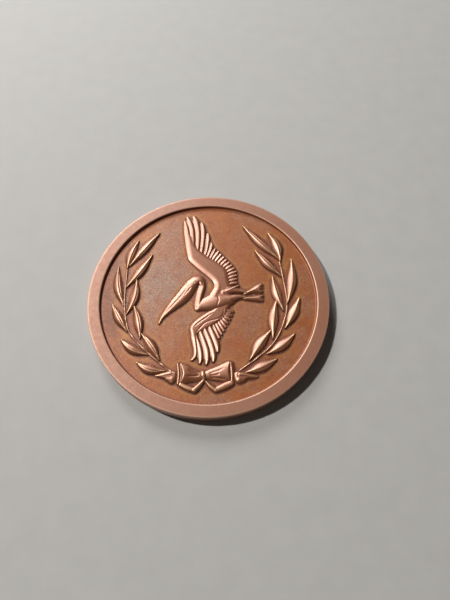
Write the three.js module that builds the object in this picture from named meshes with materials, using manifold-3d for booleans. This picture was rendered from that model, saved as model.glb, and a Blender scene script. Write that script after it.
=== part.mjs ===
// A round struck bronze table medal, 70 mm across. The obverse carries a pelican in flight inside two
// laurel branches tied with a ribbon bow, in relief on a sunk field with a flat raised rim.
// Millimetres, +Z up out of the obverse, origin at the centre of the underside.
// +Y points to the top of the design: the upper wing. Every raised form stands on the flat field.

import * as THREE from "three";
import { LoftGeometry } from "three/addons/geometries/LoftGeometry.js";
import { mergeVertices } from "three/addons/utils/BufferGeometryUtils.js";
import Module from "manifold-3d";

const wasm = await Module();
wasm.setup();

// ---- Driving dimensions -------------------------------------------------------------------------

const DIAMETER = 70;
const THICKNESS = 4.2;
const RIM_WIDTH = 3.46;
const OBVERSE_RECESS = 1.0; // field below the rim on the design side
const REVERSE_RECESS = 0.6; // field below the rim on the plain side
const OUTER_CHAMFER = 0.22;
const RIM_BEVEL = 0.3; // width of the slope between rim and field
const DISC_SIDES = 120;

const OUTER_RADIUS = DIAMETER / 2;
const FIELD_RADIUS = OUTER_RADIUS - RIM_WIDTH;
const FIELD_Z = THICKNESS - OBVERSE_RECESS;

const GAP = 0.12; // clear air between two raised forms that would touch
const LEAF_STAND_OFF = 0.75; // from the point where a leaf springs to the start of its blade
const LEAF_HALF_WIDTH = 1.3;
const LEAF_HEIGHT = 0.62;
const STEM_HALF_WIDTH = 0.36;
const STEM_HEIGHT = 0.4;
const WING_HEIGHT = 0.62;
const WING_BEVEL = 0.2;
const PRIMARY_HEIGHT = 0.6; // the long feathers
const SECONDARY_HEIGHT = 0.5; // the short feathers
const FEATHER_TIP_HEIGHT = 0.4;

const SECTION_SIDES = 5; // facets over the arch of a raised form
const STEPS_PER_ROW = 2; // sections from one spine row to the next
const TALLER_THAN_RELIEF = 3; // height factor that lets a cutter clear everything above it

// ---- Materials ----------------------------------------------------------------------------------

const fieldBronze = new THREE.MeshStandardMaterial({
  color: 0x9c6448,
  roughness: 0.42,
  metalness: 0.9,
});
const reliefBronze = new THREE.MeshStandardMaterial({
  color: 0xc08a6c,
  roughness: 0.34,
  metalness: 0.9,
});

// ---- Shape helpers ------------------------------------------------------------------------------

// A closed geometry as a solid that can be joined and cut.
function solidOf(geometry) {
  const bare = new THREE.BufferGeometry();
  bare.setAttribute("position", geometry.getAttribute("position"));
  bare.setIndex(geometry.getIndex());
  const merged = mergeVertices(bare, 1e-4);
  return new wasm.Manifold(
    new wasm.Mesh({
      numProp: 3,
      vertProperties: new Float32Array(merged.attributes.position.array),
      triVerts: new Uint32Array(merged.index.array),
    }),
  );
}

function geometryOf(solid) {
  const mesh = solid.getMesh();
  const geometry = new THREE.BufferGeometry();
  geometry.setAttribute("position", new THREE.BufferAttribute(mesh.vertProperties, 3));
  geometry.setIndex(new THREE.BufferAttribute(mesh.triVerts, 1));
  geometry.computeVertexNormals();
  return geometry;
}

// A raised form: a spine whose rows are [x, y, half-width, height], skinned with arched sections that
// stand on a flat base at the field.
function raised(rows, grow = 0, heightFactor = 1) {
  const steps = STEPS_PER_ROW * (rows.length - 1);
  const spine = new THREE.CatmullRomCurve3(
    rows.map(([x, y]) => new THREE.Vector3(x, y, 0)),
    false,
    "centripetal",
  );
  const size = new THREE.CatmullRomCurve3(
    rows.map(([, , halfWidth, height]) => new THREE.Vector3(halfWidth, height, 0)),
    false,
    "catmullrom",
    0.3,
  );
  const sections = [];
  for (let i = 0; i <= steps; i++) {
    const t = i / steps;
    const centre = spine.getPoint(t);
    const along = spine.getTangent(t);
    const { x: halfWidth, y: height } = size.getPoint(t);
    const section = [];
    for (let j = 0; j <= SECTION_SIDES; j++) {
      const angle = (Math.PI * j) / SECTION_SIDES;
      const aside = (halfWidth + grow) * Math.cos(angle);
      const up = height * heightFactor * Math.sin(angle) ** 0.8;
      section.push(new THREE.Vector3(
        centre.x - along.y * aside,
        centre.y + along.x * aside,
        FIELD_Z + up,
      ));
    }
    sections.push(section);
  }
  return new LoftGeometry(sections, { capStart: true, capEnd: true });
}

// A raised form as a cutter: wider by the gap and taller than any relief.
function clearance(rows) {
  return solidOf(raised(rows, GAP, TALLER_THAN_RELIEF));
}

// A flat raised panel inside a smooth closed outline, with a bevelled upper edge.
function panel(outline, height, bevel) {
  const edge = new THREE.CatmullRomCurve3(
    outline.map(([x, y]) => new THREE.Vector3(x, y, 0)),
    true,
    "centripetal",
  );
  const points = edge.getPoints(3 * outline.length).slice(0, -1);
  const extruded = new THREE.ExtrudeGeometry(new THREE.Shape(points), {
    depth: 2 * (height - bevel),
    bevelThickness: bevel,
    bevelSize: bevel,
    bevelOffset: -bevel,
    bevelSegments: 2,
  });
  extruded.translate(0, 0, FIELD_Z - (height - bevel));
  return solidOf(extruded).trimByPlane([0, 0, 1], FIELD_Z);
}

// A laurel leaf from where it springs to its tip. bow is how far its middle stands to the left.
function leafRows([baseX, baseY], [tipX, tipY], bow) {
  const length = Math.hypot(tipX - baseX, tipY - baseY);
  const along = [(tipX - baseX) / length, (tipY - baseY) / length];
  const left = [-along[1], along[0]];
  const profile = [
    [LEAF_STAND_OFF / length, 0.3],
    [0.28, 0.86],
    [0.5, 1],
    [0.75, 0.72],
    [0.97, 0.2],
  ];
  return profile.map(([t, share]) => [
    baseX + along[0] * length * t + left[0] * bow * Math.sin(Math.PI * t),
    baseY + along[1] * length * t + left[1] * bow * Math.sin(Math.PI * t),
    LEAF_HALF_WIDTH * share,
    LEAF_HEIGHT * (0.45 + 0.55 * share),
  ]);
}

// Long feathers from rows of [x, y, half-width].
function primaries(feathers) {
  return feathers.map((rows) =>
    rows.map(([x, y, halfWidth], i) => {
      const atTip = i === rows.length - 1;
      return [x, y, halfWidth, atTip ? FEATHER_TIP_HEIGHT : PRIMARY_HEIGHT];
    }),
  );
}

// Short feathers fanned between a root curve and a tip curve.
function fan(roots, tips, count, halfWidth, height) {
  const rootCurve = new THREE.CatmullRomCurve3(roots.map(([x, y]) => new THREE.Vector3(x, y, 0)));
  const tipCurve = new THREE.CatmullRomCurve3(tips.map(([x, y]) => new THREE.Vector3(x, y, 0)));
  const feathers = [];
  for (let i = 0; i < count; i++) {
    const root = rootCurve.getPoint(i / (count - 1));
    const tip = tipCurve.getPoint(i / (count - 1));
    feathers.push([
      [root.x, root.y, halfWidth, height],
      [tip.x, tip.y, 0.55 * halfWidth, 0.7 * height],
    ]);
  }
  return feathers;
}

const group = new THREE.Group();

function add(name, geometry, material = reliefBronze) {
  const mesh = new THREE.Mesh(geometry, material);
  mesh.name = name;
  group.add(mesh);
}

// ---- Disc ---------------------------------------------------------------------------------------

function discProfile() {
  const points = [
    [0, REVERSE_RECESS],
    [FIELD_RADIUS - RIM_BEVEL, REVERSE_RECESS],
    [FIELD_RADIUS, 0],
    [OUTER_RADIUS - OUTER_CHAMFER, 0],
    [OUTER_RADIUS, OUTER_CHAMFER],
    [OUTER_RADIUS, THICKNESS - OUTER_CHAMFER],
    [OUTER_RADIUS - OUTER_CHAMFER, THICKNESS],
    [FIELD_RADIUS, THICKNESS],
    [FIELD_RADIUS - RIM_BEVEL, FIELD_Z],
    [0, FIELD_Z],
  ];
  return points.map(([radius, z]) => new THREE.Vector2(radius, z));
}

const disc = new THREE.LatheGeometry(discProfile(), DISC_SIDES);
disc.rotateX(Math.PI / 2); // the lathe's axis is Y
add("medal_disc", geometryOf(solidOf(disc)), fieldBronze);

// ---- Laurel branches ----------------------------------------------------------------------------

const LEFT_STEM = [
  [-24.1, 10.2], [-24.4, 2], [-24.3, -2], [-23.7, -6.3], [-22.4, -10.4],
  [-18.3, -15.2], [-13.9, -19.3], [-11.4, -21.3],
];
const RIGHT_STEM = [
  [21.6, 11], [22.1, 6.8], [22.7, -2.5], [21.1, -8.9], [18, -14.5],
  [13, -18.9], [10.3, -20.6],
];

// Each leaf: where it springs, its tip, and the bow of its middle to the left.
const LEFT_LEAVES = [
  [[-22, 13.4], [-14.6, 22.3], 0.2],
  [[-24.2, 10.6], [-21, 19.8], 0.4],
  [[-23.8, 4.8], [-16.7, 14.7], -0.2],
  [[-24.9, -0.8], [-26.6, 11], 0.9],
  [[-23.4, -3.6], [-21, 6.4], -0.8],
  [[-24.2, -9.3], [-27.9, -1.4], 0.2],
  [[-19.5, -11.9], [-21.5, -1.9], -0.4],
  [[-13.2, -18.9], [-19, -10.8], -0.3],
  [[-18.9, -17.3], [-24.9, -12.1], 0.7],
  [[-12.4, -21.9], [-20.3, -19], 0.9],
];
const RIGHT_LEAVES = [
  [[20.4, 13.2], [11.4, 23.8], 0.1],
  [[21.75, 11.5], [19, 21.1], -1.2],
  [[20.9, 6.75], [14.7, 14.9], 0.1],
  [[23.3, -2], [25.1, 11.75], -1.0],
  [[21.2, -3.7], [19.1, 6.1], 0.3],
  [[22.2, -10], [26.4, -1], -0.4],
  [[18.6, -12.6], [19.8, -1.6], 0.3],
  [[11.2, -18.4], [17.4, -11], 0.2],
  [[16.9, -17.8], [23.9, -12.2], -0.6],
  [[10.2, -22.6], [18.5, -19.4], -0.4],
];

const branches = {
  left: { stem: LEFT_STEM, leaves: LEFT_LEAVES },
  right: { stem: RIGHT_STEM, leaves: RIGHT_LEAVES },
};
for (const [side, { stem, leaves }] of Object.entries(branches)) {
  const stemRows = stem.map(([x, y]) => [x, y, STEM_HALF_WIDTH, STEM_HEIGHT]);
  add(`${side}_stem`, raised(stemRows));
  let taken = clearance(stemRows);
  leaves.forEach(([base, tip, bow], i) => {
    const rows = leafRows(base, tip, bow);
    const number = String(i + 1).padStart(2, "0");
    add(`${side}_leaf_${number}`, geometryOf(solidOf(raised(rows)).subtract(taken)));
    taken = taken.add(clearance(rows));
  });
}

// Cut ends of the two branches, one at each side of the bow.
const LEFT_STEM_END = [
  [-14.8, -23.1, 0.15, 0.3], [-12.6, -23.4, 0.7, 0.55],
  [-10.7, -23.9, 1.35, 0.7], [-9.35, -23.9, 1.5, 0.6],
];
const RIGHT_STEM_END = [
  [13.2, -24, 0.15, 0.3], [10.8, -23.9, 0.55, 0.5],
  [9, -24.1, 1.25, 0.7], [7.3, -23.9, 1.6, 0.6],
];
add("left_stem_end", raised(LEFT_STEM_END));
add("right_stem_end", raised(RIGHT_STEM_END));

// ---- Ribbon bow ---------------------------------------------------------------------------------

const KNOT = [[-2.7, -23.3, 0.6, 0.6], [-2.05, -23.2, 0.85, 0.85], [-1.4, -23.2, 0.6, 0.6]];
const LEFT_LOOP = [
  [-3, -23.5, 0.8, 0.5], [-5.2, -23, 1.7, 0.75], [-7.6, -22.7, 2.5, 0.75], [-8.8, -22.6, 2.7, 0.6],
];
const RIGHT_LOOP = [
  [-1, -23.4, 0.9, 0.5], [1.8, -23, 1.7, 0.75], [5, -22.5, 2.6, 0.8], [6.2, -22.5, 2.7, 0.6],
];
const LEFT_TAIL = [
  [-1.9, -24.6, 0.5, 0.4], [-3.9, -27.1, 0.6, 0.5], [-4.7, -27.2, 0.6, 0.5], [-7.6, -25.9, 0.55, 0.4],
];
const RIGHT_TAIL = [
  [-1.1, -25.2, 0.5, 0.4], [0.9, -27.2, 0.6, 0.5], [1.9, -27.2, 0.6, 0.5], [4.6, -25.9, 0.65, 0.4],
];
const bowSides = {
  left: { loop: LEFT_LOOP, tail: LEFT_TAIL },
  right: { loop: RIGHT_LOOP, tail: RIGHT_TAIL },
};

add("bow_knot", raised(KNOT));
const knotClearance = clearance(KNOT);
for (const [side, { loop, tail }] of Object.entries(bowSides)) {
  add(`bow_${side}_loop`, geometryOf(solidOf(raised(loop)).subtract(knotClearance)));
  const taken = knotClearance.add(clearance(loop));
  add(`bow_${side}_tail`, geometryOf(solidOf(raised(tail)).subtract(taken)));
}

// ---- Pelican ------------------------------------------------------------------------------------

const BODY = [
  [-1.5, -2.8, 1.1, 0.6], [0.8, -2, 2.1, 0.85], [3.2, -1.1, 2.6, 0.9], [5.8, -0.4, 2.4, 0.85],
  [8.2, 0.2, 1.6, 0.7], [10.2, 0.6, 0.9, 0.5],
];
const NECK = [
  [-1.9, 4.4, 0.85, 0.6], [-2, 2.6, 0.85, 0.65], [-2.5, 0.2, 0.85, 0.7], [-3, -2.2, 0.9, 0.7],
  [-3.3, -3.7, 0.6, 0.5],
];
const HEAD = [[-1.2, 5.3, 0.8, 0.6], [-2.9, 5.5, 1.4, 0.75], [-4.5, 4.9, 1.35, 0.75]];
const BILL = [
  [-4.7, 4.5, 1.4, 0.7], [-5.8, 2.6, 1.95, 0.8], [-7.4, 0.5, 1.95, 0.8], [-9.6, -1.7, 1.55, 0.65],
  [-11.8, -3.9, 0.95, 0.55], [-13.4, -5.7, 0.6, 0.45], [-14.35, -7.6, 0.3, 0.3],
];
const UPPER_FOOT = [[11.1, 1.2, 0.4, 0.4], [13.2, 1.6, 0.95, 0.5], [15.6, 2.2, 1.35, 0.45]];
const LOWER_FOOT = [[10.6, -0.6, 0.5, 0.4], [13.2, -0.9, 0.85, 0.5], [15.6, -0.9, 0.95, 0.4]];

const bodyClearance = clearance(BODY);
const neckClearance = clearance(NECK);
const headClearance = clearance(HEAD);
const birdClearance = bodyClearance.add(neckClearance).add(headClearance);

add("pelican_body", raised(BODY));
add("pelican_neck", geometryOf(solidOf(raised(NECK)).subtract(bodyClearance)));
add("pelican_head", geometryOf(solidOf(raised(HEAD)).subtract(bodyClearance.add(neckClearance))));
add("pelican_bill", geometryOf(solidOf(raised(BILL)).subtract(birdClearance)));
add("pelican_upper_foot", geometryOf(solidOf(raised(UPPER_FOOT)).subtract(bodyClearance)));
add("pelican_lower_foot", geometryOf(solidOf(raised(LOWER_FOOT)).subtract(bodyClearance)));

// A wing is one panel of smooth coverts with its feathers joined on. The long feathers are listed from
// the leading edge inwards as rows of [x, y, half-width].
const UPPER_COVERTS = [
  [-6.3, 18], [-6.1, 15], [-5.6, 12.7], [-3.6, 10.2], [-1.8, 8.2], [0.2, 6], [1, 4], [1.1, 1.8], [2, -0.4],
  [5, 0.2], [6.6, 3.2], [6.5, 6], [5.6, 9.4], [3.1, 11.8], [0.2, 13.9], [-1.8, 15.4], [-4, 17.6],
];
const UPPER_PRIMARIES = primaries([
  [[-5.9, 17, 0.55], [-6.1, 21, 0.6], [-7, 27, 0.4]],
  [[-4.5, 17, 0.8], [-4.6, 22, 0.75], [-5, 26, 0.6], [-6.1, 28.1, 0.3]],
  [[-3, 16.5, 0.6], [-2.7, 21.5, 0.65], [-3.2, 26, 0.6], [-4, 28.4, 0.35]],
  [[-1.9, 15.4, 0.55], [-1.2, 20, 0.6], [-1.1, 23.5, 0.5], [-1.6, 25.9, 0.25]],
  [[-0.8, 14.6, 0.5], [0, 18.5, 0.55], [0.3, 21.9, 0.3]],
  [[0, 13.8, 0.45], [0.9, 16.5, 0.45], [1.2, 18.6, 0.25]],
]);
const UPPER_SECONDARIES = fan(
  [[0.4, 13], [3.2, 11], [5.4, 8.8], [6, 6.4], [6, 4.2]],
  [[2.35, 16.5], [5.1, 12.8], [8, 9], [8.5, 6.6], [8.6, 4.2]],
  13, 0.42, SECONDARY_HEIGHT,
);

const LOWER_COVERTS = [
  [0.7, -4.5], [-3, -7.1], [-5, -9.4], [-5.1, -11], [-4.4, -13], [-2.2, -11.6], [-0.4, -10.6],
  [2, -9.4], [4.2, -7.4], [5.6, -5.6], [6.4, -3.4], [3.4, -3.4],
];
const LOWER_PRIMARIES = primaries([
  [[-4.4, -11.5, 0.5], [-4.1, -16, 0.5], [-4.9, -19, 0.25]],
  [[-3.5, -11.5, 0.6], [-2.6, -16.5, 0.65], [-2.9, -20.1, 0.35]],
  [[-2.2, -11, 0.65], [-1, -16, 0.65], [-0.9, -20.3, 0.35]],
  [[-0.8, -10, 0.65], [0.6, -15, 0.65], [0.9, -19.6, 0.35]],
  [[0.6, -9.6, 0.6], [1.8, -13.5, 0.6], [2.3, -17, 0.35]],
]);
const LOWER_SECONDARIES = fan(
  [[1, -9.4], [3, -7.6], [4.6, -5.6], [5.4, -3.9]],
  [[2.6, -13.3], [4.5, -10.5], [6.1, -6.8], [7.3, -4.6]],
  8, 0.5, SECONDARY_HEIGHT,
);

function wing(coverts, feathers) {
  let solid = panel(coverts, WING_HEIGHT, WING_BEVEL);
  for (const rows of feathers) {
    solid = solid.add(solidOf(raised(rows)));
  }
  return geometryOf(solid.subtract(birdClearance));
}

add("pelican_upper_wing", wing(UPPER_COVERTS, [...UPPER_PRIMARIES, ...UPPER_SECONDARIES]));
add("pelican_lower_wing", wing(LOWER_COVERTS, [...LOWER_PRIMARIES, ...LOWER_SECONDARIES]));

export default group;
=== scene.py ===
import math

import bmesh
import bpy
import numpy as np
from mathutils import Matrix, Vector


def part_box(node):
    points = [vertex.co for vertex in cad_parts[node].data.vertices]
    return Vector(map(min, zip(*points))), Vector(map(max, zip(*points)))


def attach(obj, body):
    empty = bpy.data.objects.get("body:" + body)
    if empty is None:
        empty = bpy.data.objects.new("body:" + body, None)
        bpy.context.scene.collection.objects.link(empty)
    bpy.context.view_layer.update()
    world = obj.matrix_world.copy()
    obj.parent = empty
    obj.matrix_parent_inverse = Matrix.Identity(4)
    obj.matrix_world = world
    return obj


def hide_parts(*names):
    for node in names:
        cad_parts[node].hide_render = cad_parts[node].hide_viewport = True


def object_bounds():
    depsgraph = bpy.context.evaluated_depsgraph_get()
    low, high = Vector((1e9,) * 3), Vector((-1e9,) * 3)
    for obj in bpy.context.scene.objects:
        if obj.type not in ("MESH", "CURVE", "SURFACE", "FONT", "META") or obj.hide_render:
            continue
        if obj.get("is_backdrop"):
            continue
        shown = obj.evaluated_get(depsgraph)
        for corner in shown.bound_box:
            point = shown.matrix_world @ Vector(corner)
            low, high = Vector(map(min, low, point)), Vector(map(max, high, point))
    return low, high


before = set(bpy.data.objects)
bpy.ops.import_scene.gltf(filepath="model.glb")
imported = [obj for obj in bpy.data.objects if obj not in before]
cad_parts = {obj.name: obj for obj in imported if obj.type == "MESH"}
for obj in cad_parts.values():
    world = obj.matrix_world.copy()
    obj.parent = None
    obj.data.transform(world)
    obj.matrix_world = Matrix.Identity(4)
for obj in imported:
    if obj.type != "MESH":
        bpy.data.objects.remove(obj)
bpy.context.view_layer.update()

# A struck bronze table medal. The relief is sculpted as heights in millimetres over the plane of the
# field, +Y to the top of the design, and each raised form becomes one closed mesh on the disc.

MM = 0.001
DISC_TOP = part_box("medal_disc")[1]
THICKNESS = DISC_TOP[2] / MM
OUTER_RADIUS = DISC_TOP[0] / MM
FIELD_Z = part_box("left_stem")[0][2] / MM  # the raised forms stand on the field
RIM_WIDTH = 3.46
FIELD_RADIUS = OUTER_RADIUS - RIM_WIDTH
REVERSE_RECESS = 0.6  # field below the rim on the plain side

CELL = 0.075  # spacing of the sculpting grid
SUNK = 0.05  # depth below the field where a form's sculpted surface is trimmed
BASE = -0.12  # underside of the raised forms, inside the disc
FAR_BELOW = -1.2  # height given to points well outside a form
DRAFT = 2.4  # fall of a form's walls for each millimetre outwards
RELIEF_GAIN = 1.12  # every height of the relief is raised by this
FORM_REACH = 0.9  # how far beyond its outline a form's walls are worked out
LEAST_HALF_WIDTH = 0.05
LINE_FADE = 0.22  # share of a groove's length over which it fades at each end
RUB_REACH = 0.6  # crests and creases are judged against the mean height this far round them


# ---- Camera -------------------------------------------------------------------------------------

CAMERA_TURN = -2.0  # degrees about Z: the design lies slightly turned on the table
CAMERA_ELEVATION = 65.28
CAMERA_DISTANCE = 143.2 * MM
CAMERA_RIGHT = 4.8 * MM
CAMERA_UP = -1.09 * MM
LENS = 29.64
SENSOR_WIDTH = 36


def make_camera():
    """The camera looks at a point on the top of the medal, a little off its centre."""
    data = bpy.data.cameras.new("camera")
    data.lens = LENS
    data.sensor_width = SENSOR_WIDTH
    data.clip_start = 0.01
    data.clip_end = 10
    camera = bpy.data.objects.new("camera", data)
    elevation = math.radians(CAMERA_ELEVATION)
    turn = Matrix.Rotation(math.radians(CAMERA_TURN), 3, "Z")
    back_axis = turn @ Vector((0, -math.cos(elevation), math.sin(elevation)))
    right_axis = turn @ Vector((1, 0, 0))
    up_axis = back_axis.cross(right_axis)
    rotation = Matrix((right_axis, up_axis, back_axis)).transposed()
    place = Vector((0, 0, THICKNESS * MM)) + back_axis * CAMERA_DISTANCE
    place += right_axis * CAMERA_RIGHT + up_axis * CAMERA_UP
    camera.matrix_world = Matrix.Translation(place) @ rotation.to_4x4()
    bpy.context.collection.objects.link(camera)
    bpy.context.scene.camera = camera


make_camera()


# ---- Sculpting ----------------------------------------------------------------------------------

def smooth_rows(rows, per_span=6, closed=False):
    """A Catmull-Rom curve through rows of any width."""
    rows = np.asarray(rows, float)
    if closed:
        padded = np.vstack([rows[-1], rows, rows[0], rows[1]])
    else:
        padded = np.vstack([2 * rows[0] - rows[1], rows, 2 * rows[-1] - rows[-2]])
    made = []
    for a, b, c, d in zip(padded[:-3], padded[1:-2], padded[2:-1], padded[3:]):
        for u in np.arange(per_span) / per_span:
            made.append(0.5 * (2 * b + (c - a) * u + (2 * a - 5 * b + 4 * c - d) * u**2
                               + (3 * b - a - 3 * c + d) * u**3))
    made.append(rows[0] if closed else rows[-1])
    return np.array(made)


def locate(line, x, y):
    """Nearest place on a line of points: position along it, and distance, positive to its left."""
    best = np.full(x.shape, np.inf)
    along = np.zeros(x.shape)
    side = np.ones(x.shape)
    for i, (a, b) in enumerate(zip(line[:-1], line[1:])):
        dx, dy = b[0] - a[0], b[1] - a[1]
        t = np.clip(((x - a[0]) * dx + (y - a[1]) * dy) / (dx * dx + dy * dy + 1e-12), 0, 1)
        off_x, off_y = x - a[0] - t * dx, y - a[1] - t * dy
        square = off_x**2 + off_y**2
        nearer = square < best
        best[nearer] = square[nearer]
        along[nearer] = (i + t)[nearer]
        side[nearer] = (dx * off_y - dy * off_x)[nearer]
    return along, np.copysign(np.sqrt(best), side)


def near(line, x, y, margin):
    """Grid points inside the line's box, grown by a margin."""
    low, high = line[:, :2].min(0) - margin, line[:, :2].max(0) + margin
    return (x > low[0]) & (x < high[0]) & (y > low[1]) & (y < high[1])


def crown(share, width, height, power, wall):
    """A rounded form over a short steep wall. share is 0 on the crest and 1 at the foot of the crown, and
    wall is the part of the height that the wall takes."""
    top = RELIEF_GAIN * height * (wall + (1 - wall) * (1 - np.minimum(share, 1) ** power))
    return np.maximum(top - DRAFT * width * np.maximum(share - 1, 0), FAR_BELOW)


def ridge(x, y, rows, power=1.6, lean=0.0, wall=0.3):
    """A rounded form along rows of [x, y, half-width, height]. lean moves its crest to the left."""
    line = smooth_rows(rows)
    made = np.full(x.shape, FAR_BELOW)
    mask = near(line, x, y, max(row[2] for row in rows) + FORM_REACH)
    along, aside = locate(line, x[mask], y[mask])
    steps = np.arange(len(line))
    half_width = np.maximum(np.interp(along, steps, line[:, 2]), LEAST_HALF_WIDTH)
    share = aside / half_width
    share = np.where(share > lean, (share - lean) / (1 - lean), (lean - share) / (1 + lean))
    made[mask] = crown(share, half_width, np.interp(along, steps, line[:, 3]), power, wall)
    return made


def line_form(x, y, points, half_width, size):
    """A thin soft line, for a groove or a raised line, that fades at both ends."""
    line = smooth_rows(points)
    made = np.zeros(x.shape)
    mask = near(line, x, y, 4 * half_width)
    along, aside = locate(line, x[mask], y[mask])
    last = len(line) - 1
    fade = np.clip(np.minimum(along, last - along) / (LINE_FADE * last), 0, 1) ** 0.7
    made[mask] = size * fade * np.exp(-(aside / half_width) ** 2)
    return made


def panel(x, y, outline, height, shoulder, power=1.5, wall=0.3):
    """A flat-topped form inside a smooth closed outline, with a rounded shoulder."""
    line = smooth_rows(outline, closed=True)
    made = np.full(x.shape, FAR_BELOW)
    mask = near(line, x, y, FORM_REACH)
    px, py = x[mask], y[mask]
    distance = np.abs(locate(line, px, py)[1])
    inside = np.zeros(px.shape, bool)
    for a, b in zip(line[:-1], line[1:]):
        if a[1] != b[1]:
            crossing = a[0] + (py - a[1]) * (b[0] - a[0]) / (b[1] - a[1])
            inside ^= ((a[1] > py) != (b[1] > py)) & (px < crossing)
    share = 1 - np.where(inside, distance, -distance) / shoulder
    made[mask] = crown(np.maximum(share, 0), shoulder, height, power, wall)
    return made


def blend(a, b, softness):
    """The higher of two forms, with a soft valley where they meet."""
    mix = np.clip(0.5 + 0.5 * (a - b) / softness, 0, 1)
    return b * (1 - mix) + a * mix + softness * mix * (1 - mix)


def blend_low(a, b, softness):
    """The lower of two forms, softened where they meet."""
    return -blend(-a, -b, softness)


def blend_all(forms, softness):
    """The highest of some forms, blended one after another."""
    made = forms[0]
    for form in forms[1:]:
        made = blend(made, form, softness)
    return made


def grooved(x, y, form, lines, half_width, depth):
    """A form with soft grooves cut along some lines."""
    for points in lines:
        form = form - line_form(x, y, points, half_width, depth)
    return form


# ---- Meshing ------------------------------------------------------------------------------------

def blurred(values, cells, passes=2):
    """A box blur over the given number of cells to each side, run some times along each axis."""
    size = max(1, int(round(cells)))
    kernel = np.ones(2 * size + 1) / (2 * size + 1)
    for _ in range(passes):
        for axis in (0, 1):
            padded = np.pad(values, [(size, size) if a == axis else (0, 0) for a in (0, 1)], mode="edge")
            values = np.apply_along_axis(np.convolve, axis, padded, kernel, mode="valid")
    return values


MAP_CELL = 0.25
MAP_SPAN = np.arange(-FIELD_RADIUS - 1, FIELD_RADIUS + 1, MAP_CELL)
map_x, map_y = np.meshgrid(MAP_SPAN, MAP_SPAN)
relief_map = np.zeros(map_x.shape)  # 1 where a raised form stands, 0 on the bare field


def add_to_relief_map(sculpt, low, high):
    """Notes where a raised form stands, for the patina and the painted shadow on the field round it."""
    inside = (map_x > low[0]) & (map_x < high[0]) & (map_y > low[1]) & (map_y < high[1])
    columns, rows = np.any(inside, 0), np.any(inside, 1)
    part = np.ix_(rows, columns)
    height = sculpt(map_x[part], map_y[part])
    relief_map[part] = np.maximum(relief_map[part], (height > 0).astype(float))


def close_below(bm):
    """Drops walls from the open edges to the base and fills the underside."""
    border = [e for e in bm.edges if e.is_boundary]
    made = bmesh.ops.extrude_edge_only(bm, edges=border)["geom"]
    for v in (g for g in made if isinstance(g, bmesh.types.BMVert)):
        v.co.z = (FIELD_Z + BASE) * MM
    bottom = [e for e in bm.edges if e.is_boundary]
    bmesh.ops.triangle_fill(bm, edges=bottom, use_beauty=True, use_dissolve=False)
    bmesh.ops.recalc_face_normals(bm, faces=bm.faces)
    for e in border + bottom:
        e.smooth = False


def drop_small_islands(bm):
    """Keeps only the largest connected part of a form."""
    unseen = set(bm.verts)
    islands = []
    while unseen:
        stack = [unseen.pop()]
        island = []
        while stack:
            v = stack.pop()
            island.append(v)
            for e in v.link_edges:
                other = e.other_vert(v)
                if other in unseen:
                    unseen.remove(other)
                    stack.append(other)
        islands.append(island)
    islands.sort(key=len)
    for island in islands[:-1]:
        bmesh.ops.delete(bm, geom=island, context="VERTS")


def add_attribute(mesh, name, values):
    """A number for each point, which a material reads by its name."""
    mesh.attributes.new(name, "FLOAT", "POINT").data.foreach_set("value", values.astype(np.float32))


def add_piece(mesh, node):
    """A finished mesh as a piece that stands for a CAD node."""
    piece = bpy.data.objects.new(mesh.name, mesh)
    bpy.context.collection.objects.link(piece)
    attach(piece, "root")
    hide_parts(node)


def relief_piece(name, sculpt, low, high, material, cuts=()):
    """Meshes the part of a sculpted form above the field as a closed solid, inside the box from low to
    high. Each cut is a point and a direction in the plane: what lies beyond the point in that direction
    belongs to another piece. The rub attribute is above 0 on crests and below 0 in creases."""
    x, y = np.meshgrid(np.arange(low[0], high[0], CELL), np.arange(low[1], high[1], CELL))
    height = blurred(sculpt(x, y), 1, passes=1)
    worn = np.maximum(height, 0)
    rub = worn - blurred(worn, RUB_REACH / CELL)
    above = height > -SUNK
    quad = above[:-1, :-1] | above[1:, :-1] | above[:-1, 1:] | above[1:, 1:]
    index = np.arange(x.size).reshape(x.shape)
    corners = [index[:-1, :-1], index[:-1, 1:], index[1:, 1:], index[1:, :-1]]
    faces = np.stack([c[quad] for c in corners], 1)
    used, faces = np.unique(faces, return_inverse=True)
    faces = faces.reshape(-1, 4)
    points = np.stack([x.ravel(), y.ravel(), FIELD_Z + height.ravel()], 1)[used] * MM

    mesh = bpy.data.meshes.new("struck_" + name)
    mesh.from_pydata(points.tolist(), [], faces.tolist())
    add_attribute(mesh, "rub", rub.ravel()[used])
    bm = bmesh.new()
    bm.from_mesh(mesh)
    planes = [((0, 0, (FIELD_Z - SUNK) * MM), (0, 0, -1))]
    planes += [((px * MM, py * MM, 0), (dx, dy, 0)) for (px, py), (dx, dy) in cuts]
    for place, direction in planes:
        bmesh.ops.bisect_plane(
            bm, geom=bm.verts[:] + bm.edges[:] + bm.faces[:], dist=1e-8,
            plane_co=place, plane_no=direction, clear_outer=True)
    drop_small_islands(bm)
    close_below(bm)
    for f in bm.faces:
        f.smooth = True
    bm.to_mesh(mesh)
    bm.free()
    mesh.materials.append(material)
    add_piece(mesh, name)
    add_to_relief_map(sculpt, low, high)


# ---- Node helpers -------------------------------------------------------------------------------

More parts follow.
